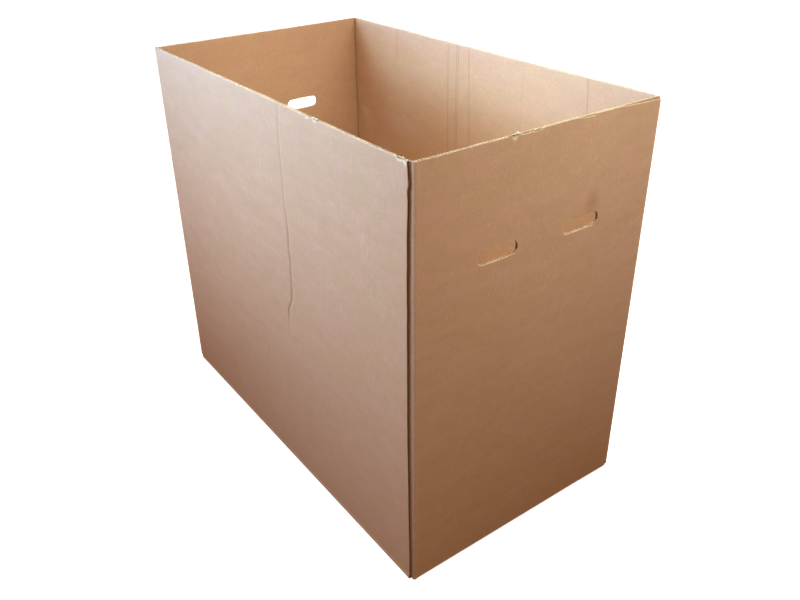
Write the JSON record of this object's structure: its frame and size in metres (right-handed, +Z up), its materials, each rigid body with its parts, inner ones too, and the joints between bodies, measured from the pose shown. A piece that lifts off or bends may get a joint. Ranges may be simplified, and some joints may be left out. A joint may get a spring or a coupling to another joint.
{
  "type": "pallet box",
  "caption": "Open-topped pallet box folded from double-wall corrugated board, with a glued corner joint, closed bottom flaps and round-ended hand holes in its end walls.",
  "frame": {"origin": "middle of the box's underside, on the surface it stands on", "axes": "+X along the length, +Y across the width, +Z up through the open top; the glued corner joint is at +X, -Y"},
  "size_m": [1.2, 0.68, 1.045],
  "materials": {
    "kraft_board": "unprinted kraft liner, matt, with paler cut edges"
  },
  "bodies": {
    "root": {"pallet_box_board": "kraft_board"}
  },
  "joints": []
}
